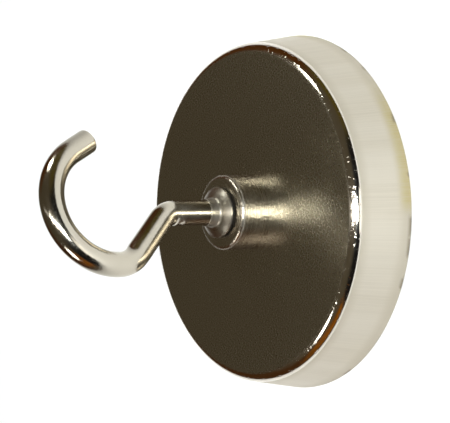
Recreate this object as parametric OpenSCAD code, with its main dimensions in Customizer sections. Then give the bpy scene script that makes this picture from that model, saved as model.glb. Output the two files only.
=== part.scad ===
// Hook magnet for magnet fishing and retrieving: a flared steel pot that holds a ring magnet,
// with a threaded boss on its back and an open wire hook screwed into the boss.
// The working face lies on z = 0 and is centred on the origin; +Z runs up the axis to the hook.
// The hook is bent in the XZ plane, with its tip on the +X side.

/* [Pot] */
// Diameter of the pot at its working face
face_d = 75; // [73:0.5:80]
// Diameter of the pot at its back, where the wall and the back would meet in a sharp corner
back_d = 70.4; // [69:0.2:72]
// Height of the pot from the working face to its back
pot_h = 13; // [12:0.5:16]
// Radius of the rounded edge between the back and the wall
edge_r = 2.3; // [1.5:0.1:3]
// Chamfer on the rim around the working face
rim_chamfer = 0.4; // [0.2:0.1:0.8]
// Diameter of the cavity for the magnet
cavity_d = 65; // [64:0.5:66]
// Depth of the cavity for the magnet
cavity_depth = 8; // [7.5:0.25:9]

/* [Magnet] */
// Outer diameter of the ring magnet
magnet_d = 59; // [56:0.5:60]
// Bore of the ring magnet
magnet_bore_d = 19; // [18.5:0.5:22]
// How far the magnet's face sits back from the rim of the pot
magnet_recess = 0.3; // [0.2:0.1:0.5]
// Thickness of the adhesive between the magnet and the pot
bond_t = 0.3; // [0.2:0.05:0.4]
// How far the potting resin sits back from the rim of the pot
resin_recess = 0.5; // [0.4:0.1:0.8]
// Height of the ring that centres the magnet in the pot
centring_h = 4; // [3:0.5:5]

/* [Boss] */
// Outside diameter of the threaded boss
boss_d = 15.6; // [14:0.2:18]
// Height of the boss above the back of the pot
boss_h = 6.5; // [5:0.5:10]
// Radius of the rounded rim of the boss
boss_rim_r = 0.9; // [0.5:0.1:1.2]
// Diameter of the spigot that passes through the pot
spigot_d = 12; // [10:0.5:13]
// Diameter of the spigot's head, riveted over inside the pot
rivet_d = 16; // [15:0.5:16.5]
// Thickness of the riveted head
rivet_t = 1.4; // [1:0.1:1.8]

/* [Thread] */
// Diameter of the threaded bore in the boss
thread_d = 6; // [6:0.5:7]
// Travel of the hook for each turn
pitch = 1; // [1:0.25:1]
// Length of the hook's thread
thread_l = 10.5; // [8:0.5:11]

/* [Hook] */
// Diameter of the hook's wire
wire_d = 5.1; // [4.8:0.1:5.4]
// Radius of the bowl, at the centre of the wire
bowl_r = 12.6; // [11:0.1:16]
// Height of the bowl's centre above the working face
bowl_z = 46.2; // [45:0.1:60]
// Sideways place of the bowl's centre
bowl_x = 2.1; // [2:0.1:4]
// Radius of the tighter bend from the bowl into the slanted leg
side_r = 6.2; // [5:0.1:8]
// Radius of the bend from the slanted leg into the shank
elbow_r = 4; // [3.5:0.1:5]
// Slope of the straight tip, in degrees from upright
tip_angle = 29; // [20:1:40]
// Length of the straight tip
tip_l = 4.8; // [3:0.1:7]
// Chamfer around the cut end of the wire
tip_chamfer = 0.4; // [0.2:0.1:0.6]

/* [Collar and washer] */
// Diameter of the collar swaged onto the shank
collar_d = 10.5; // [10:0.1:12]
// Thickness of the collar at its edge
collar_edge = 0.55; // [0.4:0.05:1]
// Rise of the collar's dome, from its edge to its hub
collar_dome = 0.95; // [0.6:0.05:1.4]
// Diameter of the collar's hub, where the dome ends
hub_d = 5.9; // [5.8:0.1:7]
// Height of the hub, from the dome up to the wire
hub_h = 2.1; // [1.5:0.1:2.5]
// Diameter of the lock washer
washer_d = 9.6; // [9:0.1:10]
// Thickness of the lock washer
washer_t = 0.5; // [0.4:0.05:0.8]

/* [Hidden] */
$fn = 96;

assembly_gap = 0.03;     // radial room between pieces pressed or glued together
running_gap = 0.05;      // radial room of the hook's thread in the boss
overlap = 1;             // how far a cutting tool passes the face it cuts
bend_stretch = 0.03;     // how much thinner the wire is where it is bent
bend_lap = 0.25;         // how far a bend runs on inside its neighbours
sleeve_t = 0.5;          // wall of the sleeve in the magnet's bore
stop_disc_t = 0.5;       // disc that closes the inner end of the threaded bore
bore_mouth_chamfer = 0.4;

face_r = face_d / 2;
back_r = back_d / 2;
cavity_r = cavity_d / 2;
magnet_r = magnet_d / 2;
magnet_bore_r = magnet_bore_d / 2;
boss_r = boss_d / 2;
thread_r = thread_d / 2;
wire_r = wire_d / 2;
hook_thread_r = thread_r - running_gap;

// Heights above the working face
cavity_z = cavity_depth;
boss_top_z = pot_h + boss_h;
rivet_z = cavity_z - rivet_t;
stop_disc_z = rivet_z - stop_disc_t;
collar_z = boss_top_z + washer_t;
dome_z = collar_z + collar_edge;
hub_z = dome_z + collar_dome;
shank_end_z = collar_z - thread_l;

// The wall leans in towards the back. The edge circle touches the wall and the back.
wall_lean = (face_r - back_r) / pot_h;
wall_angle = atan(wall_lean);
edge_z = pot_h - edge_r;
edge_x = face_r - wall_lean * edge_z - edge_r / cos(wall_angle);

// The hook's centre line: shank, elbow, slanted leg at 45 degrees, side bend, bowl and tip.
leg_angle = 45;
side_x = bowl_x - (bowl_r - side_r);
leg_top = [side_x - side_r * cos(leg_angle), bowl_z - side_r * sin(leg_angle)];
elbow_z = leg_top[0] + leg_top[1] - elbow_r * (sqrt(2) - 1);
leg_bottom = [elbow_r * (cos(leg_angle) - 1), elbow_z + elbow_r * sin(leg_angle)];
leg_l = norm(leg_top - leg_bottom);
tip_start = [bowl_x + bowl_r * cos(tip_angle), bowl_z + bowl_r * sin(tip_angle)];

// A ring or disc between two heights; r_in = 0 gives a plain disc.
module ring(r_out, r_in, z_low, z_high) {
    translate([0, 0, z_low])
        difference() {
            cylinder(r = r_out, h = z_high - z_low);
            if (r_in > 0)
                translate([0, 0, -overlap])
                    cylinder(r = r_in, h = z_high - z_low + 2 * overlap);
        }
}

// A bent length of wire in the XZ plane, around centre = [x, z].
module wire_bend(centre, bend_r, from, to, r) {
    translate([centre[0], 0, centre[1]])
        rotate([90, 0, 0])
            rotate([0, 0, from])
                rotate_extrude(angle = to - from)
                    translate([bend_r, 0])
                        circle(r = r, $fn = 48);
}

// A bend of slightly stretched wire that starts and ends a little inside its neighbours.
module stretched_bend(centre, bend_r, from, to) {
    lap = bend_lap / bend_r * 180 / PI;
    wire_bend(centre, bend_r, from - lap, to + lap, wire_r - bend_stretch);
}

// A straight length of wire in the XZ plane that starts at start = [x, z]
// and leans by lean degrees from upright, towards +X.
module wire_straight(start, lean, length, r = wire_r) {
    translate([start[0], 0, start[1]])
        rotate([0, lean, 0])
            cylinder(r = r, h = length, $fn = 48);
}

// Flared steel cup with a rounded back edge and a hole for the boss.
module pot_shell() {
    color("silver")
        rotate_extrude($fn = 180)
            union() {
                polygon([
                    [spigot_d / 2 + assembly_gap, cavity_z],
                    [cavity_r, cavity_z],
                    [cavity_r, 0],
                    [face_r - rim_chamfer, 0],
                    [face_r - wall_lean * rim_chamfer, rim_chamfer],
                    [edge_x + edge_r * cos(wall_angle), edge_z + edge_r * sin(wall_angle)],
                    [edge_x, pot_h],
                    [spigot_d / 2 + assembly_gap, pot_h],
                ]);
                translate([edge_x, edge_z])
                    circle(r = edge_r, $fn = 64);
            }
}

// Axially magnetised ring, glued to the floor of the cavity.
module ring_magnet() {
    color("lightslategray")
        ring(magnet_r, magnet_bore_r, magnet_recess, cavity_z - bond_t);
}

// Layer of adhesive between the magnet and the pot.
module magnet_bond() {
    color("khaki")
        ring(magnet_r, magnet_bore_r, cavity_z - bond_t, cavity_z);
}

// Ring that keeps the magnet in the middle of the pot until the resin is poured.
module centring_ring() {
    color("dimgray")
        ring(cavity_r - assembly_gap, magnet_r + assembly_gap, cavity_z - centring_h, cavity_z);
}

// Resin that fills the gap around the magnet, up to the working face.
module rim_potting() {
    color("black")
        ring(cavity_r - assembly_gap, magnet_r + assembly_gap, resin_recess, cavity_z - centring_h);
}

// Turned boss with a rounded rim, a spigot through the pot and a riveted head inside it.
module threaded_boss() {
    color("gainsboro")
        difference() {
            union() {
                rotate_extrude()
                    union() {
                        polygon([
                            [0, pot_h],
                            [boss_r, pot_h],
                            [boss_r, boss_top_z - boss_rim_r],
                            [boss_r - boss_rim_r, boss_top_z],
                            [0, boss_top_z],
                        ]);
                        translate([boss_r - boss_rim_r, boss_top_z - boss_rim_r])
                            circle(r = boss_rim_r, $fn = 48);
                    }
                translate([0, 0, rivet_z])
                    cylinder(d = spigot_d, h = pot_h - rivet_z);
                translate([0, 0, rivet_z])
                    cylinder(d = rivet_d, h = rivet_t);
            }
            translate([0, 0, rivet_z - overlap])
                cylinder(r = thread_r, h = boss_top_z - rivet_z + 2 * overlap);
            translate([0, 0, boss_top_z - bore_mouth_chamfer])
                cylinder(r1 = thread_r, r2 = thread_r + bore_mouth_chamfer, h = bore_mouth_chamfer);
        }
}

// Thin brass sleeve that lines the magnet's bore and centres it on the riveted head.
module bore_sleeve() {
    color("goldenrod")
        ring(
            magnet_bore_r - assembly_gap,
            magnet_bore_r - assembly_gap - sleeve_t,
            resin_recess,
            cavity_z
        );
}

// Disc that keeps the resin out of the thread.
module thread_stop_disc() {
    color("dimgray")
        ring(spigot_d / 2, 0, stop_disc_z, rivet_z);
}

// Resin that fills the magnet's bore below the riveted head.
module centre_potting() {
    color("black")
        difference() {
            ring(magnet_bore_r - 2 * assembly_gap - sleeve_t, 0, resin_recess, rivet_z);
            ring(spigot_d / 2 + assembly_gap, 0, stop_disc_z, rivet_z + overlap);
        }
}

// Thin dark washer under the collar.
module lock_washer() {
    color("darkslategray")
        ring(washer_d / 2, thread_r + running_gap, boss_top_z, collar_z);
}

// Domed collar with a slightly tapered hub, swaged onto the shank.
module hook_collar() {
    edge_break = 0.15;
    dome_bulge = 0.08;
    hub_taper = 0.15;
    hub_lip = 0.1;
    hub_bore_r = wire_r + assembly_gap;
    hub_top_z = hub_z + hub_h;
    color("lightgray")
        rotate_extrude()
            polygon([
                [hub_bore_r, collar_z],
                [collar_d / 2, collar_z],
                [collar_d / 2, dome_z - edge_break],
                [collar_d / 2 - edge_break, dome_z],
                [(collar_d + hub_d) / 4, (dome_z + hub_z) / 2 + dome_bulge],
                [hub_d / 2, hub_z],
                [hub_d / 2 - hub_taper, hub_top_z - hub_taper],
                [hub_bore_r + hub_lip, hub_top_z],
                [hub_bore_r, hub_top_z],
            ]);
}

// Round wire with a threaded end, bent into an open bowl with a straight tip.
module hook() {
    tip_wire_r = wire_r - bend_stretch;
    color("whitesmoke")
        union() {
            translate([0, 0, shank_end_z])
                cylinder(r = hook_thread_r, h = thread_l);
            wire_straight([0, collar_z - bend_lap], 0, elbow_z - collar_z + bend_lap);
            stretched_bend([-elbow_r, elbow_z], elbow_r, 0, leg_angle);
            wire_straight(leg_bottom, -leg_angle, leg_l);
            stretched_bend([side_x, bowl_z], side_r, 180, 180 + leg_angle);
            wire_bend([bowl_x, bowl_z], bowl_r, tip_angle, 180, wire_r);
            translate([tip_start[0], 0, tip_start[1]])
                rotate([0, 180 - tip_angle, 0]) {
                    translate([0, 0, -bend_lap])
                        cylinder(r = tip_wire_r, h = tip_l - tip_chamfer + bend_lap, $fn = 48);
                    translate([0, 0, tip_l - tip_chamfer])
                        cylinder(r1 = tip_wire_r, r2 = tip_wire_r - tip_chamfer, h = tip_chamfer, $fn = 48);
                }
        }
}

pot_shell();
ring_magnet();
magnet_bond();
centring_ring();
rim_potting();
threaded_boss();
bore_sleeve();
thread_stop_disc();
centre_potting();
lock_washer();
hook_collar();
hook();
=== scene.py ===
"""Looks for the hook magnet: detailed meshes, procedural materials, soft studio light and the camera.

Everything is in metres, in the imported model's frame: the working face on z = 0, +Z up to the hook,
and the hook bent in the XZ plane.
"""

import math

import bmesh
import bpy
from mathutils import Matrix, Vector


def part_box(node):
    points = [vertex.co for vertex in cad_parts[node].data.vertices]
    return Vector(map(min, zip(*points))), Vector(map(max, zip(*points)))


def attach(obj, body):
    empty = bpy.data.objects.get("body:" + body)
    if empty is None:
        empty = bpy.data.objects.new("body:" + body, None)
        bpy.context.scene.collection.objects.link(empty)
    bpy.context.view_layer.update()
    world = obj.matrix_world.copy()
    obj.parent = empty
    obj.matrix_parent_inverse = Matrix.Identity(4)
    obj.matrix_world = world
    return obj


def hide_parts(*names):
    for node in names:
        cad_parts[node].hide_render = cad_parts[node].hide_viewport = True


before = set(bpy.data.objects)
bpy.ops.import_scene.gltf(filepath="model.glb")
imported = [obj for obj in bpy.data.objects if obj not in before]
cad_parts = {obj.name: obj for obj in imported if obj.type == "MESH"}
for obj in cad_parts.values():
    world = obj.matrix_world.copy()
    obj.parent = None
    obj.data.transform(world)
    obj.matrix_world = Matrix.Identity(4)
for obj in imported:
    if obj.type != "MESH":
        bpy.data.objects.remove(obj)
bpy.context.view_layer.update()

MM = 0.001

# ---------------------------------------- sizes of the CAD model, from the frame where it gives them
POT_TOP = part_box("pot_shell")[1].z
FACE_R = 37.5 * MM
BACK_R = 35.2 * MM
EDGE_R = 2.3 * MM
RIM_CHAMFER = 0.4 * MM
CAVITY_R = 32.5 * MM
CAVITY_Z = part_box("magnet_bond")[1].z
SPIGOT_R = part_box("thread_stop_disc")[1].x
RIVET_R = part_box("threaded_boss")[1].x
RIVET_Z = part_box("threaded_boss")[0].z
BOSS_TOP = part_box("threaded_boss")[1].z
BOSS_R = 7.8 * MM
BOSS_RIM_R = 0.9 * MM
BORE_R = 3.0 * MM
MOUTH_CHAMFER = 0.4 * MM
# Room left between two pieces where they fit together
GAP = 0.03 * MM

MAGNET_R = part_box("ring_magnet")[1].x
MAGNET_BORE_R = 9.5 * MM
MAGNET_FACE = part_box("ring_magnet")[0].z
MAGNET_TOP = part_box("ring_magnet")[1].z
RESIN_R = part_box("centre_potting")[1].x
RESIN_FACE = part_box("rim_potting")[0].z
RIM_RESIN_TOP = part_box("rim_potting")[1].z
STOP_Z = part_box("thread_stop_disc")[0].z

PITCH = 1.0 * MM
HOOK_ROOT_R = 2.40 * MM
HOOK_CREST_R = 2.92 * MM
THREAD_CLEARANCE = 0.08 * MM

COLLAR_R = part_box("hook_collar")[1].x
COLLAR_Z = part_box("hook_collar")[0].z
COLLAR_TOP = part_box("hook_collar")[1].z
DOME_Z = COLLAR_Z + 0.55 * MM
HUB_Z = DOME_Z + 0.95 * MM
HUB_R = 2.95 * MM
WASHER_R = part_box("lock_washer")[1].x
WASHER_BORE_R = 3.05 * MM

SHANK_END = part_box("hook")[0].z
WIRE_R = 2.55 * MM
BOWL_X = 2.1 * MM
BOWL_R = 12.6 * MM
BOWL_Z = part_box("hook")[1].z - BOWL_R - WIRE_R
SIDE_R = 6.2 * MM
ELBOW_R = 4.0 * MM
LEG_ANGLE = math.radians(45)
TIP_ANGLE = math.radians(29)
TIP_L = 4.8 * MM
TIP_ROUND = 0.45 * MM
WIRE_SEGMENTS = 64
WIRE_ANGLES = [2 * math.pi * k / WIRE_SEGMENTS for k in range(WIRE_SEGMENTS)]

# Degrees about +Z at which the camera stands, from -Y towards +X
CAMERA_AZIMUTH = -19.0


# ---------------------------------------- camera
def make_camera():
    """The camera stands to the side of the hook and is turned on its side, so that +Z points left."""
    azimuth = math.radians(CAMERA_AZIMUTH)
    elevation = math.radians(35.6)
    roll = math.radians(0.72)
    distance = 349 * MM
    target_height = 18.3 * MM
    target_shift = 0.2 * MM
    across = Vector((math.sin(azimuth), -math.cos(azimuth), 0))
    up_axis = Vector((0, 0, 1))
    back = across * math.cos(elevation) + up_axis * math.sin(elevation)
    left = up_axis * math.cos(elevation) - across * math.sin(elevation)
    up = left.cross(back)
    rolled_left = left * math.cos(roll) + up * math.sin(roll)
    rolled_up = up * math.cos(roll) - left * math.sin(roll)
    place = up_axis * target_height + up * target_shift + back * distance
    data = bpy.data.cameras.new("camera")
    data.sensor_width = 36
    data.lens = 134.8
    data.clip_start = 0.01
    camera = bpy.data.objects.new("camera", data)
    columns = (-rolled_left, rolled_up, back)
    camera.matrix_world = Matrix.Translation(place) @ Matrix(columns).transposed().to_4x4()
    bpy.context.scene.collection.objects.link(camera)
    bpy.context.scene.camera = camera


# ---------------------------------------- light, world and floor
def area_light(name, azimuth, elevation, distance, width, height, radiance, colour):
    """An oval soft box aimed at the object; its azimuth is in degrees round from the camera's."""
    target = Vector((0, 0, 15 * MM))
    a = math.radians(CAMERA_AZIMUTH + azimuth)
    e = math.radians(elevation)
    back = Vector((math.sin(a) * math.cos(e), -math.cos(a) * math.cos(e), math.sin(e)))
    data = bpy.data.lights.new(name, "AREA")
    data.shape = "ELLIPSE"
    data.size = width
    data.size_y = height
    lit_area = math.pi / 4 * width * height
    data.energy = radiance * math.pi * lit_area
    data.color = colour
    light = bpy.data.objects.new(name, data)
    light.location = target + back * distance
    light.rotation_mode = "QUATERNION"
    light.rotation_quaternion = (-back).to_track_quat("-Z", "Y")
    light.visible_camera = False
    bpy.context.scene.collection.objects.link(light)


def make_lights():
    """Four soft boxes in line with the camera, and a small one close in on either side."""
    far = 0.6
    near = 0.12
    warm = (1.0, 0.985, 0.955)
    cool = (0.88, 0.96, 1.0)
    area_light("key_box", 0, 57, far, 0.080, 0.68, 15.0, warm)
    area_light("top_box", 0, 100, far, 0.045, 0.50, 0.9, warm)
    area_light("low_box", 0, 36, far, 0.095, 0.18, 46.0, cool)
    area_light("front_box", 0, 4, far, 0.28, 0.24, 2.0, warm)
    area_light("left_box", 108, 43, near, 0.034, 0.022, 18.0, (0.97, 1.0, 0.96))
    area_light("right_box", -95, 47.5, near, 0.030, 0.032, 9.0, (1.0, 0.99, 0.97))


def make_world():
    """Pale all round, with a dark studio and some brown furniture that only mirrors see."""
    world = bpy.data.worlds.new("studio")
    bpy.context.scene.world = world
    world.use_nodes = True
    world.cycles.sampling_method = "NONE"
    nodes = Nodes(world.node_tree)
    direction = nodes.put("ShaderNodeTexCoord").outputs["Generated"]
    turn_back = {"Vector": direction, "Angle": -math.radians(CAMERA_AZIMUTH)}
    rotated = nodes.put("ShaderNodeVectorRotate", turn_back, rotation_type="Z_AXIS")
    side, behind, height = nodes.split(rotated.outputs[0])
    azimuth = nodes.math("DEGREES", nodes.math("ARCTAN2", side, nodes.math("MULTIPLY", behind, -1.0)))

    def patch(low, high, soft, top, top_soft):
        """1 between two azimuths in degrees and below a height, 0 elsewhere."""
        sides = nodes.math("MULTIPLY", nodes.ramp(azimuth, low - soft, low + soft),
                           nodes.ramp(azimuth, high + soft, high - soft))
        return nodes.math("MULTIPLY", sides, nodes.ramp(height, top + top_soft, top - top_soft))

    patchy = nodes.ramp(nodes.noise(direction, 2.5, 3), 0.3, 0.7)
    open_room = (0.092, 0.075, 0.047, 1)
    dark_middle = (0.012, 0.011, 0.010, 1)
    olive_side = (0.10, 0.075, 0.015, 1)
    brown_corner = (0.085, 0.03, 0.006, 1)
    far_corner = (0.07, 0.028, 0.008, 1)
    wood = nodes.mix(patchy, (0.15, 0.052, 0.005, 1), (0.34, 0.11, 0.011, 1))
    wood_patch = nodes.math("MULTIPLY", patch(-108, -60, 4, 0.6, 0.12), nodes.ramp(height, 0.07, 0.22))
    room = nodes.mix(patch(-58, 50, 8, 0.72, 0.2), open_room, dark_middle)
    room = nodes.mix(patch(50, 100, 12, 0.5, 0.2), room, olive_side)
    room = nodes.mix(patch(100, 165, 8, 0.6, 0.1), room, brown_corner)
    room = nodes.mix(patch(-165, -105, 8, 0.6, 0.12), room, far_corner)
    room = nodes.mix(wood_patch, room, wood)
    ray = nodes.put("ShaderNodeLightPath").outputs
    pale = nodes.mix(ray["Is Diffuse Ray"], (0.92, 0.92, 0.92, 1), (0.57, 0.57, 0.57, 1))
    colour = nodes.mix(ray["Is Glossy Ray"], pale, room)
    background = world.node_tree.nodes["Background"]
    world.node_tree.links.new(colour, background.inputs["Color"])


def make_floor():
    """A plain round pale floor."""
    mesh = bpy.data.meshes.new("floor")
    shape = bmesh.new()
    bmesh.ops.create_circle(shape, cap_ends=True, segments=64, radius=1.0)
    shape.to_mesh(mesh)
    shape.free()
    floor = bpy.data.objects.new("floor", mesh)
    bpy.context.scene.collection.objects.link(floor)
    material = bpy.data.materials.new("floor")
    material.use_nodes = True
    shader = material.node_tree.nodes["Principled BSDF"]
    shader.inputs["Base Color"].default_value = (0.92, 0.92, 0.92, 1)
    shader.inputs["Roughness"].default_value = 0.9
    shader.inputs["Specular IOR Level"].default_value = 0.1
    mesh.materials.append(material)


# ---------------------------------------- material tools
class Nodes:
    """Short calls that add nodes to a tree and return what they give."""

    def __init__(self, tree):
        self.tree = tree

    def put(self, kind, values=None, **settings):
        """Adds a node. Its settings are set first, then each input is linked or given its value."""
        node = self.tree.nodes.new(kind)
        for name, value in settings.items():
            setattr(node, name, value)
        for key, value in (values or {}).items():
            if isinstance(value, bpy.types.NodeSocket):
                self.tree.links.new(value, node.inputs[key])
            else:
                node.inputs[key].default_value = value
        return node

    def math(self, operation, a, b=0.0):
        return self.put("ShaderNodeMath", {0: a, 1: b}, operation=operation).outputs[0]

    def split(self, vector):
        return self.put("ShaderNodeSeparateXYZ", {0: vector}).outputs

    def join(self, x, y, z):
        return self.put("ShaderNodeCombineXYZ", {0: x, 1: y, 2: z}).outputs[0]

    def ramp(self, value, low, high, to_low=0.0, to_high=1.0):
        """Smooth step from to_low at low up to to_high at high."""
        if low > high:
            low, high, to_low, to_high = high, low, to_high, to_low
        values = {"Value": value, "From Min": low, "From Max": high, "To Min": to_low, "To Max": to_high}
        return self.put("ShaderNodeMapRange", values, interpolation_type="SMOOTHSTEP").outputs[0]

    def noise(self, vector, scale, detail=2.0, roughness=0.5):
        values = {"Vector": vector, "Scale": scale, "Detail": detail, "Roughness": roughness}
        return self.put("ShaderNodeTexNoise", values).outputs[0]

    def mix(self, factor, a, b):
        return self.put("ShaderNodeMix", {0: factor, 6: a, 7: b}, data_type="RGBA").outputs[2]

    def mix_value(self, factor, a, b):
        return self.put("ShaderNodeMix", {0: factor, 2: a, 3: b}, data_type="FLOAT").outputs[0]

    def bump(self, height, strength, distance):
        values = {"Height": height, "Strength": strength, "Distance": distance}
        return self.put("ShaderNodeBump", values).outputs[0]


class Surface(Nodes):
    """A material, its shader, and coordinates for turned and drawn parts."""

    def __init__(self, name, metallic, ior=1.5):
        self.material = bpy.data.materials.new(name)
        self.material.use_nodes = True
        super().__init__(self.material.node_tree)
        self.shader = self.tree.nodes["Principled BSDF"]
        self.shader.inputs["Metallic"].default_value = metallic
        self.shader.inputs["IOR"].default_value = ior
        self.place = self.put("ShaderNodeTexCoord").outputs["Object"]
        self.x, self.y, self.z = self.split(self.place)
        x_squared = self.math("MULTIPLY", self.x, self.x)
        y_squared = self.math("MULTIPLY", self.y, self.y)
        self.radius = self.math("SQRT", self.math("ADD", x_squared, y_squared))

    def around(self, per_turn, per_metre):
        """Coordinates that go round the axis without a seam, for lines that run along it."""
        safe = self.math("MAXIMUM", self.radius, 0.0001)
        u = self.math("MULTIPLY", self.math("DIVIDE", self.x, safe), per_turn)
        v = self.math("MULTIPLY", self.math("DIVIDE", self.y, safe), per_turn)
        return self.join(u, v, self.math("MULTIPLY", self.z, per_metre))

    def turned(self, per_metre):
        """Coordinates that are the same all the way round the axis, for lathe marks."""
        u = self.math("MULTIPLY", self.radius, per_metre)
        return self.join(u, self.math("MULTIPLY", self.z, per_metre), 0.0)

    def finish(self, colour, roughness, normal=None):
        self.tree.links.new(colour, self.shader.inputs["Base Color"])
        self.tree.links.new(roughness, self.shader.inputs["Roughness"])
        if normal is not None:
            self.tree.links.new(normal, self.shader.inputs["Normal"])
        return self.material


# ---------------------------------------- materials
def painted_wall_reflection(s, lines, near_edges):
    """1 where a yellow painted reflection goes: in patches near the wall's edges, and along the side towards
    the camera.
    """
    # Painted reflection: a yellow tint on the side of the wall towards the camera and in patches near its
    # edges.
    camera_side_reflection = s.math("MULTIPLY", s.ramp(s.x, -13.5 * MM, -10 * MM), s.ramp(s.x, 18 * MM, 6 * MM))
    camera_side_reflection = s.math("MULTIPLY", camera_side_reflection, s.ramp(s.y, 0.0, -10 * MM))
    reflection_patches = s.math("MAXIMUM", s.ramp(s.noise(s.place, 38, 2), 0.5, 0.75), camera_side_reflection)
    return s.math("MULTIPLY", s.math("MULTIPLY", reflection_patches, near_edges), s.ramp(lines, 0.2, 0.8, 0.5, 1.0))


def rim_scuffs(s):
    """1 where the plating is scuffed at the foot of the wall, most of all on one side."""
    towards_side = s.ramp(s.x, -12 * MM, -14 * MM, 0.0, 0.12)
    worn_side = s.math("MULTIPLY", towards_side, s.ramp(s.x, -27 * MM, -23 * MM))
    scuffs = s.ramp(s.math("ADD", s.noise(s.place, 240, 3, 0.6), worn_side), 0.54, 0.66)
    return s.math("MULTIPLY", scuffs, s.ramp(s.z, 1.3 * MM, 0.3 * MM))


def satin_wall(s, lines):
    """Colour of the wall: fine lines, broad bands, a darker, yellower painted reflection near its top and
    foot, and a yellow painted reflection and scuffs that stay off the working face.
    """
    bands = s.noise(s.around(6, 12), 1.0, 2)
    outside = s.ramp(s.radius, FACE_R - 0.9 * MM, FACE_R - 0.4 * MM)
    near_edges = s.math("ADD", s.ramp(s.z, 8.8 * MM, 11.2 * MM), s.ramp(s.z, 3.8 * MM, 1.0 * MM))
    painted_reflection = s.math("MULTIPLY", painted_wall_reflection(s, lines, near_edges), outside)
    scuffed = s.math("MULTIPLY", rim_scuffs(s), outside)
    satin = s.mix(s.ramp(lines, 0.3, 0.7), (0.54, 0.50, 0.42, 1), (0.61, 0.57, 0.485, 1))
    satin = s.mix(s.ramp(bands, 0.35, 0.7, 0.0, 0.4), satin, (0.64, 0.605, 0.53, 1))
    # Painted reflection: the wall is darker and yellower near its top and its foot.
    satin = s.mix(s.math("MULTIPLY", near_edges, 0.5), satin, (0.46, 0.42, 0.335, 1))
    # Painted reflection: the yellow tint laid over the satin colour.
    satin = s.mix(s.math("MULTIPLY", painted_reflection, 0.8), satin, (0.49, 0.42, 0.19, 1))
    return s.mix(s.math("MULTIPLY", scuffed, 0.8), satin, (0.22, 0.19, 0.14, 1))


def pot_nickel():
    """Satin wall with fine draw lines, and a back in the same plating painted darker as painted shade, with a
    polished, nicked edge.
    """
    s = Surface("pot_nickel", 1.0)
    above_wall = s.ramp(s.z, POT_TOP - 1.85 * MM, POT_TOP - 1.6 * MM)
    on_back = s.ramp(s.z, POT_TOP - 0.12 * MM, POT_TOP - 0.01 * MM)
    lines = s.noise(s.around(190, 45), 1.0, 3, 0.6)
    grain = s.noise(s.place, 1700, 3, 0.6)
    # Painted shade: the back has the wall's plating, coloured darker to stand for the dark room it mirrors.
    back = s.mix(grain, (0.40, 0.365, 0.29, 1), (0.44, 0.40, 0.325, 1))
    edge = (0.62, 0.575, 0.50, 1)
    colour = s.mix(above_wall, satin_wall(s, lines), s.mix(on_back, edge, back))
    satin_roughness = s.ramp(lines, 0.25, 0.75, 0.52, 0.62)
    edge_roughness = s.ramp(s.noise(s.place, 1500, 3, 0.6), 0.35, 0.75, 0.08, 0.14)
    back_roughness = s.ramp(grain, 0.3, 0.7, 0.26, 0.30)
    roughness = s.mix_value(above_wall, satin_roughness, s.mix_value(on_back, edge_roughness, back_roughness))
    below_back = s.math("SUBTRACT", 1.0, on_back)
    nicks = s.ramp(s.noise(s.place, 1500, 2, 0.5), 0.57, 0.76)
    nicked = s.math("MULTIPLY", nicks, s.math("MULTIPLY", above_wall, below_back))
    line_height = s.math("MULTIPLY", lines, s.math("SUBTRACT", 1.0, above_wall))
    fine = s.math("MULTIPLY", grain, 0.04)
    nick_depth = 8.0
    height = s.math("SUBTRACT", s.math("ADD", line_height, fine), s.math("MULTIPLY", nicked, nick_depth))
    normal = s.bump(height, 0.3, 0.01 * MM)
    return s.finish(colour, roughness, normal)


def turned_nickel(name, low, high, rough_low, rough_high, marks, pitting=0.5):
    """Nickel plate over a turned surface, with fine lathe marks round the axis."""
    s = Surface(name, 1.0)
    rings = s.noise(s.turned(9000), 1.0, 3, 0.65)
    blotches = s.noise(s.place, 260, 3)
    colour = s.mix(s.math("MULTIPLY", s.math("ADD", rings, blotches), 0.5), low, high)
    mixed = s.math("ADD", s.math("MULTIPLY", rings, 0.6), s.math("MULTIPLY", blotches, 0.4))
    roughness = s.ramp(mixed, 0.3, 0.7, rough_low, rough_high)
    pits = s.math("MULTIPLY", s.noise(s.place, 1700, 3), pitting)
    normal = s.bump(s.math("ADD", rings, pits), marks, 0.01 * MM)
    return s.finish(colour, roughness, normal)


def hook_chrome():
    """Bright plated wire with faint handling marks."""
    s = Surface("hook_chrome", 1.0)
    cloud = s.noise(s.place, 180, 3)
    fine = s.noise(s.place, 2200, 3, 0.6)
    colour = s.mix(cloud, (0.42, 0.385, 0.315, 1), (0.50, 0.46, 0.38, 1))
    roughness = s.ramp(s.math("MULTIPLY", s.math("ADD", cloud, fine), 0.5), 0.35, 0.65, 0.11, 0.20)
    normal = s.bump(s.math("ADD", s.math("MULTIPLY", fine, 1.2), cloud), 0.4, 0.03 * MM)
    return s.finish(colour, roughness, normal)


def cast_resin(name, low, high):
    """Poured resin: glossy, slightly uneven, with a few dull spots."""
    s = Surface(name, 0.0, 1.55)
    swirl = s.noise(s.place, 120, 4, 0.6)
    dull = s.ramp(s.noise(s.place, 420, 3), 0.5, 0.7)
    colour = s.mix(swirl, low, high)
    roughness = s.math("ADD", s.math("MULTIPLY", dull, 0.25), 0.16)
    normal = s.bump(s.math("ADD", swirl, s.math("MULTIPLY", dull, 0.2)), 0.5, 0.12 * MM)
    return s.finish(colour, roughness, normal)


def dull_plastic(name, low, high):
    """Moulded plastic or fibre with a fine grain."""
    s = Surface(name, 0.0)
    grain = s.noise(s.place, 2500, 4, 0.7)
    colour = s.mix(grain, low, high)
    roughness = s.ramp(grain, 0.3, 0.7, 0.5, 0.75)
    normal = s.bump(grain, 0.4, 0.03 * MM)
    return s.finish(colour, roughness, normal)


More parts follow.
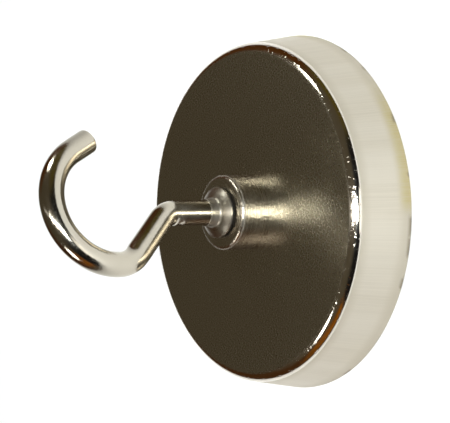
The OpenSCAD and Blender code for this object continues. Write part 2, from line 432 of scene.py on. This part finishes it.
def magnet_nickel():
    """Nickel-plated sintered ring: a soft orange-peel and faint handling scratches."""
    s = Surface("magnet_nickel", 1.0)
    peel = s.noise(s.place, 700, 3, 0.6)
    cloud = s.noise(s.place, 90, 3)
    stretched = s.join(s.math("MULTIPLY", s.x, 90.0), s.math("MULTIPLY", s.y, 1400.0), s.z)
    scratch = s.ramp(s.noise(stretched, 1.0, 2), 0.66, 0.72)
    colour = s.mix(cloud, (0.60, 0.59, 0.56, 1), (0.72, 0.71, 0.68, 1))
    roughness = s.math("ADD", s.ramp(peel, 0.3, 0.7, 0.16, 0.28), s.math("MULTIPLY", scratch, 0.15))
    height = s.math("SUBTRACT", s.math("MULTIPLY", peel, 0.6), s.math("MULTIPLY", scratch, 0.5))
    normal = s.bump(height, 0.35, 0.02 * MM)
    return s.finish(colour, roughness, normal)


# ---------------------------------------- mesh tools
def add_piece(name, vertices, faces, body, node, material, sharp=38):
    """A closed mesh that stands for one CAD node and rides on its body."""
    mesh = bpy.data.meshes.new(name)
    mesh.from_pydata(vertices, [], faces)
    shape = bmesh.new()
    shape.from_mesh(mesh)
    bmesh.ops.remove_doubles(shape, verts=shape.verts, dist=0.0001 * MM)
    bmesh.ops.recalc_face_normals(shape, faces=shape.faces)
    shape.to_mesh(mesh)
    shape.free()
    mesh.shade_smooth()
    mesh.set_sharp_from_angle(angle=math.radians(sharp))
    mesh.materials.append(material)
    piece = bpy.data.objects.new(name, mesh)
    bpy.context.scene.collection.objects.link(piece)
    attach(piece, body)
    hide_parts(node)


def arc(x, z, radius, start, end, steps):
    """Points on an arc from start to end, in degrees."""
    angles = [math.radians(start + (end - start) * k / steps) for k in range(steps + 1)]
    return [(x + radius * math.cos(a), z + radius * math.sin(a)) for a in angles]


def line(start, end, steps):
    """Points from start to end, both included."""
    return [tuple(a + (b - a) * k / steps for a, b in zip(start, end)) for k in range(steps + 1)]


def skin(count, segments, closed):
    """Faces between rings of points that follow each other. Closed joins the last ring to the first."""
    faces = []
    for i in range(count if closed else count - 1):
        j = (i + 1) % count
        for k in range(segments):
            m = (k + 1) % segments
            faces.append((i * segments + k, i * segments + m, j * segments + m, j * segments + k))
    return faces


def revolve(rows, segments, closed=True):
    """Turns rows about the axis. A row is (radius, height), or a function of the angle that gives it."""
    vertices = []
    for row in rows:
        for k in range(segments):
            turn = 2 * math.pi * k / segments
            radius, height = row(turn) if callable(row) else row
            vertices.append((radius * math.cos(turn), radius * math.sin(turn), height))
    return vertices, skin(len(rows), segments, closed)


def thread_wave(turn, height):
    """0 at the root and 1 at the crest of a right-hand thread."""
    flank = 3.2
    root_flat = 0.3
    phase = (height / PITCH - turn / (2 * math.pi)) % 1
    return min(max(flank * (0.5 - abs(phase - 0.5)) - root_flat, 0), 1)


def fade(value, low, high):
    """0 below low, 1 above high."""
    return min(max((value - low) / (high - low), 0), 1)


# ---------------------------------------- pieces
def make_pot(material):
    """Flared cup: floor of the cavity, broken and chamfered rim, leaning wall, rounded edge, back."""
    lean = (FACE_R - BACK_R) / POT_TOP
    wall_angle = math.degrees(math.atan(lean))
    edge_z = POT_TOP - EDGE_R
    edge_x = FACE_R - lean * edge_z - EDGE_R * math.hypot(1, lean)
    foot = 0.12 * MM
    chamfer_top = (FACE_R - lean * RIM_CHAMFER, RIM_CHAMFER)
    edge = arc(edge_x, edge_z, EDGE_R, wall_angle, 90, 28)
    rows = line((SPIGOT_R + GAP, CAVITY_Z), (CAVITY_R, CAVITY_Z), 2)
    rows += [(CAVITY_R, foot)]
    rows += arc(CAVITY_R + foot, foot, foot, 180, 270, 4)
    rows += arc(FACE_R - RIM_CHAMFER - foot, foot / 2, foot / 2, 270, 315, 3)
    chamfer_start = (FACE_R - RIM_CHAMFER * 0.8, 0.07 * MM)
    chamfer_end = (chamfer_top[0] - 0.03 * MM, chamfer_top[1] - 0.05 * MM)
    rows += line(chamfer_start, chamfer_end, 2)
    rows += line(chamfer_top, edge[0], 6)
    rows += edge[1:]
    rows += line((edge_x - 0.4 * MM, POT_TOP), (SPIGOT_R + GAP, POT_TOP), 6)
    vertices, faces = revolve(rows, 288)
    add_piece("pot_shell_formed", vertices, faces, "magnet", "pot_shell", material)


def make_boss(material):
    """Turned bush: riveted head, spigot, body with a rounded rim, and the threaded bore."""
    thread_end = RIVET_Z + 1.0 * MM
    thread_top = BOSS_TOP - MOUTH_CHAMFER
    crest = HOOK_ROOT_R + THREAD_CLEARANCE
    rivet_round = 0.4 * MM
    foot_chamfer = 0.04 * MM
    bore_steps = 92

    def bore_row(height):
        run_in = fade(height, thread_end - PITCH / 2, thread_end)
        run_out = fade(-height, -thread_top, PITCH / 2 - thread_top)
        depth = run_in * run_out
        return lambda turn: (BORE_R - (BORE_R - crest) * (1 - thread_wave(turn, height)) * depth, height)

    rows = [(BORE_R, RIVET_Z), (RIVET_R - rivet_round, RIVET_Z)]
    rows += arc(RIVET_R - rivet_round, RIVET_Z + rivet_round, rivet_round, 270, 360, 5)[1:]
    rows += [(RIVET_R, CAVITY_Z), (SPIGOT_R, CAVITY_Z), (SPIGOT_R, POT_TOP)]
    rows += [(BOSS_R - foot_chamfer, POT_TOP), (BOSS_R, POT_TOP + foot_chamfer)]
    rows += line((BOSS_R, POT_TOP + 0.8 * MM), (BOSS_R, BOSS_TOP - BOSS_RIM_R), 3)
    rows += arc(BOSS_R - BOSS_RIM_R, BOSS_TOP - BOSS_RIM_R, BOSS_RIM_R, 0, 90, 16)[1:]
    rows += line((BOSS_R - BOSS_RIM_R - 0.25 * MM, BOSS_TOP), (BORE_R + MOUTH_CHAMFER, BOSS_TOP), 3)
    rows += [(BORE_R + MOUTH_CHAMFER * 0.92, BOSS_TOP - 0.04 * MM), (BORE_R, thread_top)]
    rows += [bore_row(thread_top - (thread_top - RIVET_Z) * k / bore_steps) for k in range(1, bore_steps)]
    vertices, faces = revolve(rows, 120)
    add_piece("threaded_boss_turned", vertices, faces, "magnet", "threaded_boss", material)


def make_washer(material):
    """Flat ring with broken edges."""
    bevel = 0.08 * MM
    low = BOSS_TOP
    high = COLLAR_Z
    rows = [(WASHER_BORE_R, low + bevel), (WASHER_BORE_R + bevel, low)]
    rows += [(WASHER_R - bevel, low), (WASHER_R, low + bevel)]
    rows += [(WASHER_R, high - bevel), (WASHER_R - bevel, high)]
    rows += [(WASHER_BORE_R + bevel, high), (WASHER_BORE_R, high - bevel)]
    vertices, faces = revolve(rows, 96)
    add_piece("lock_washer_cut", vertices, faces, "washer", "lock_washer", material)


def make_collar(material):
    """Shallow domed collar with a narrow hub that stands up round the wire."""
    edge = 0.12 * MM
    bulge = 0.1 * MM
    fillet = 0.3 * MM
    inner = WIRE_R + GAP
    lip = 0.12 * MM
    dome_r = COLLAR_R - edge
    dome_steps = 12
    dome = []
    for k in range(1, dome_steps - 1):
        share = k / dome_steps
        height = DOME_Z + (HUB_Z - DOME_Z) * share + bulge * math.sin(math.pi * share)
        dome.append((dome_r + (HUB_R - dome_r) * share, height))
    hub_foot = (HUB_R - 0.02 * MM, HUB_Z + 0.5 * MM)
    hub_head = (HUB_R - 0.13 * MM, COLLAR_TOP - 0.25 * MM)
    rows = [(inner, COLLAR_Z), (dome_r, COLLAR_Z), (COLLAR_R, COLLAR_Z + edge)]
    rows += arc(dome_r, DOME_Z - edge, edge, 0, 70, 6)
    rows += dome
    rows += arc(HUB_R + fillet, HUB_Z + fillet, fillet, 247, 180, 6)
    rows += line(hub_foot, hub_head, 3)
    rows += arc(HUB_R - 0.23 * MM, COLLAR_TOP - 0.15 * MM, lip, 10, 90, 5)
    rows += [(inner, COLLAR_TOP - 0.03 * MM)]
    vertices, faces = revolve(rows, 128)
    add_piece("hook_collar_swaged", vertices, faces, "hook", "hook_collar", material)


def wire_path():
    """Stations up the wire from the collar to the tip: (x, z, heading, signed curvature)."""
    shank_steps = 20
    elbow_steps = 16
    leg_steps = 12
    side_steps = 16
    bowl_steps = 60
    tip_steps = 8
    side_x = BOWL_X - (BOWL_R - SIDE_R)
    leg_top = (side_x - SIDE_R * math.cos(LEG_ANGLE), BOWL_Z - SIDE_R * math.sin(LEG_ANGLE))
    elbow_z = leg_top[0] + leg_top[1] - ELBOW_R * (math.sqrt(2) - 1)
    shank_l = elbow_z - COLLAR_Z
    stations = [(0, COLLAR_Z + shank_l * k / shank_steps, math.pi / 2, 0) for k in range(shank_steps)]
    for k in range(elbow_steps + 1):
        a = LEG_ANGLE * k / elbow_steps
        place = (ELBOW_R * (math.cos(a) - 1), elbow_z + ELBOW_R * math.sin(a))
        stations.append((*place, math.pi / 2 + a, math.sin(math.pi * k / elbow_steps) ** 0.5 / ELBOW_R))
    leg_bottom = stations[-1][:2]
    for k in range(1, leg_steps):
        place = tuple(a + (b - a) * k / leg_steps for a, b in zip(leg_bottom, leg_top))
        stations.append((*place, math.pi / 2 + LEG_ANGLE, 0))
    for k in range(side_steps + 1):
        a = math.pi + LEG_ANGLE * (1 - k / side_steps)
        place = (side_x + SIDE_R * math.cos(a), BOWL_Z + SIDE_R * math.sin(a))
        stations.append((*place, a - math.pi / 2, -1 / SIDE_R))
    for k in range(1, bowl_steps + 1):
        a = math.pi + (TIP_ANGLE - math.pi) * k / bowl_steps
        place = (BOWL_X + BOWL_R * math.cos(a), BOWL_Z + BOWL_R * math.sin(a))
        stations.append((*place, a - math.pi / 2, -1 / BOWL_R))
    x, z, heading, _ = stations[-1]
    for k in range(1, tip_steps + 1):
        step = (TIP_L - TIP_ROUND) * k / tip_steps
        stations.append((x + step * math.cos(heading), z + step * math.sin(heading), heading, 0))
    return stations


def wire_ring(x, z, heading, across, along):
    """Points round the wire: across is the half width in the hook's plane, along the one out of it."""
    side_x = -math.sin(heading)
    side_z = math.cos(heading)
    return [(x + across * math.cos(a) * side_x, along * math.sin(a), z + across * math.cos(a) * side_z)
            for a in WIRE_ANGLES]


def threaded_rings():
    """Rings up the threaded end, from its tapered foot to the mouth of the boss."""
    thread_top = BOSS_TOP - 0.1 * MM
    foot_taper = 0.5 * MM
    foot_h = 0.6 * MM
    steps = 96
    rings = [[(0.0, 0.0, SHANK_END)] * WIRE_SEGMENTS]
    for k in range(steps + 1):
        z = SHANK_END + (thread_top - SHANK_END) * k / steps
        run_in = fade(z, SHANK_END + PITCH / 2, SHANK_END + PITCH)
        run_out = fade(-z, -thread_top, PITCH / 2 - thread_top)
        depth = run_in * run_out
        root = HOOK_ROOT_R - foot_taper * (1 - fade(z, SHANK_END, SHANK_END + foot_h))
        ring = []
        for a in WIRE_ANGLES:
            turn = math.pi - a
            radius = root + (HOOK_CREST_R - HOOK_ROOT_R) * thread_wave(turn, z) * depth
            ring.append((radius * math.cos(turn), radius * math.sin(turn), z))
        rings.append(ring)
    return rings


def bent_rings():
    """Rings along the plain wire, which is flattened a little at its bends, and round its tip."""
    flatten = 0.05
    round_steps = 8
    rings = []
    stations = wire_path()
    for x, z, heading, curvature in stations:
        bent = abs(curvature) * WIRE_R
        across = WIRE_R * (1 - flatten * bent)
        along = WIRE_R * (1 + flatten * bent / 2)
        rings.append(wire_ring(x, z, heading, across, along))
    x, z, heading, _ = stations[-1]
    for k in range(1, round_steps + 1):
        a = math.pi / 2 * k / round_steps
        reach = TIP_ROUND * math.sin(a)
        half = WIRE_R - TIP_ROUND * (1 - math.cos(a))
        place = (x + reach * math.cos(heading), z + reach * math.sin(heading))
        rings.append(wire_ring(*place, heading, half, half))
    end = (x + TIP_ROUND * math.cos(heading), z + TIP_ROUND * math.sin(heading))
    for share in (0.55, 0.0):
        half = (WIRE_R - TIP_ROUND) * share
        rings.append(wire_ring(*end, heading, half, half))
    return rings


def with_nib(point):
    """A point of the wire's skin, lifted where it is on the small hollow-topped nib on the shank."""
    side = Vector((-0.9735, -0.2287, 0))
    nib = side * WIRE_R + Vector((0, 0, COLLAR_Z + 9.2 * MM))
    nib_h = 0.13 * MM
    nib_r = 0.45 * MM
    place = Vector(point)
    reach = (place - nib).length / nib_r
    return place + side * nib_h * (0.2 + reach ** 2) * math.exp(1 - reach ** 2)


def make_hook(material):
    """Threaded end, shank, elbow, leg and bowl as one swept skin."""
    rings = threaded_rings() + bent_rings()
    vertices = [with_nib(point) for ring in rings for point in ring]
    faces = skin(len(rings), WIRE_SEGMENTS, closed=False)
    add_piece("hook_bent", vertices, faces, "hook", "hook", material, 50)


def make_magnet(material):
    """Pressed ring with broken edges."""
    bevel = 0.35 * MM
    inset = bevel + 0.2 * MM
    rows = [(MAGNET_BORE_R, MAGNET_FACE + bevel)]
    rows += arc(MAGNET_BORE_R + bevel, MAGNET_FACE + bevel, bevel, 180, 270, 4)[1:]
    rows += line((MAGNET_BORE_R + inset, MAGNET_FACE), (MAGNET_R - inset, MAGNET_FACE), 8)
    rows += arc(MAGNET_R - bevel, MAGNET_FACE + bevel, bevel, 270, 360, 4)
    rows += [(MAGNET_R, MAGNET_TOP), (MAGNET_BORE_R, MAGNET_TOP)]
    vertices, faces = revolve(rows, 192)
    add_piece("ring_magnet_plated", vertices, faces, "magnet", "ring_magnet", material)


def wander(turn, seed):
    """A small uneven height round a pour of resin, from -1 to 1."""
    waves = math.sin(3 * turn + seed)
    waves += 0.6 * math.sin(7 * turn + 2.1 * seed)
    waves += 0.4 * math.sin(13 * turn + seed)
    return waves / 2


def make_resin(material):
    """Poured resin that climbs the walls a little and sinks between them."""
    inner = MAGNET_R + GAP
    outer = CAVITY_R - GAP
    climb = 0.14 * MM

    def rim_row(share):
        def row(turn):
            dip = math.sin(math.pi * share)
            height = RESIN_FACE + climb * (dip - 0.8) + 0.03 * MM * dip * wander(turn, 1.3)
            return inner + (outer - inner) * share, height
        return row

    rows = [rim_row(k / 10) for k in range(11)] + [(outer, RIM_RESIN_TOP), (inner, RIM_RESIN_TOP)]
    vertices, faces = revolve(rows, 192)
    add_piece("rim_potting_poured", vertices, faces, "magnet", "rim_potting", material)

    def centre_row(share):
        def row(turn):
            dip = 1 - share ** 6
            sink = 0.25 * MM * math.exp(-((share - 0.1) / 0.3) ** 2)
            uneven = 0.02 * MM * share * dip * wander(turn, 4.0)
            return RESIN_R * share, RESIN_FACE - climb * 0.8 + climb * dip + sink + uneven
        return row

    recess = SPIGOT_R + GAP
    rows = [centre_row(k / 14) for k in range(15)]
    rows += [(RESIN_R, RIVET_Z), (recess, RIVET_Z), (recess, STOP_Z), (0, STOP_Z)]
    vertices, faces = revolve(rows, 128, closed=False)
    add_piece("centre_potting_poured", vertices, faces, "magnet", "centre_potting", material)


def dress(node, material):
    """Gives a CAD node that keeps its own shape a better material."""
    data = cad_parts[node].data
    data.materials.clear()
    data.materials.append(material)


def make_pieces():
    """Every detailed piece with its material, and a material for each CAD node that keeps its shape."""
    boss_low = (0.40, 0.36, 0.29, 1)
    boss_high = (0.50, 0.46, 0.385, 1)
    collar_low = (0.33, 0.305, 0.25, 1)
    collar_high = (0.44, 0.41, 0.345, 1)
    brass_low = (0.62, 0.43, 0.15, 1)
    brass_high = (0.80, 0.60, 0.27, 1)
    make_pot(pot_nickel())
    make_boss(turned_nickel("boss_nickel", boss_low, boss_high, 0.22, 0.34, 0.6, 14.0))
    make_collar(turned_nickel("collar_nickel", collar_low, collar_high, 0.26, 0.38, 0.6, 1.5))
    make_washer(dull_plastic("washer_dark", (0.012, 0.012, 0.012, 1), (0.035, 0.034, 0.033, 1)))
    make_hook(hook_chrome())
    make_magnet(magnet_nickel())
    make_resin(cast_resin("resin_black", (0.012, 0.012, 0.013, 1), (0.03, 0.03, 0.032, 1)))
    dress("magnet_bond", cast_resin("bond_amber", (0.36, 0.24, 0.07, 1), (0.52, 0.38, 0.14, 1)))
    grey = dull_plastic("ring_plastic", (0.06, 0.06, 0.068, 1), (0.11, 0.11, 0.12, 1))
    dress("centring_ring", grey)
    dress("thread_stop_disc", grey)
    dress("bore_sleeve", turned_nickel("sleeve_brass", brass_low, brass_high, 0.18, 0.32, 0.3))


# ---------------------------------------- the scene
bpy.context.scene.view_settings.view_transform = "Standard"
make_camera()
make_world()
make_floor()
make_lights()
make_pieces()
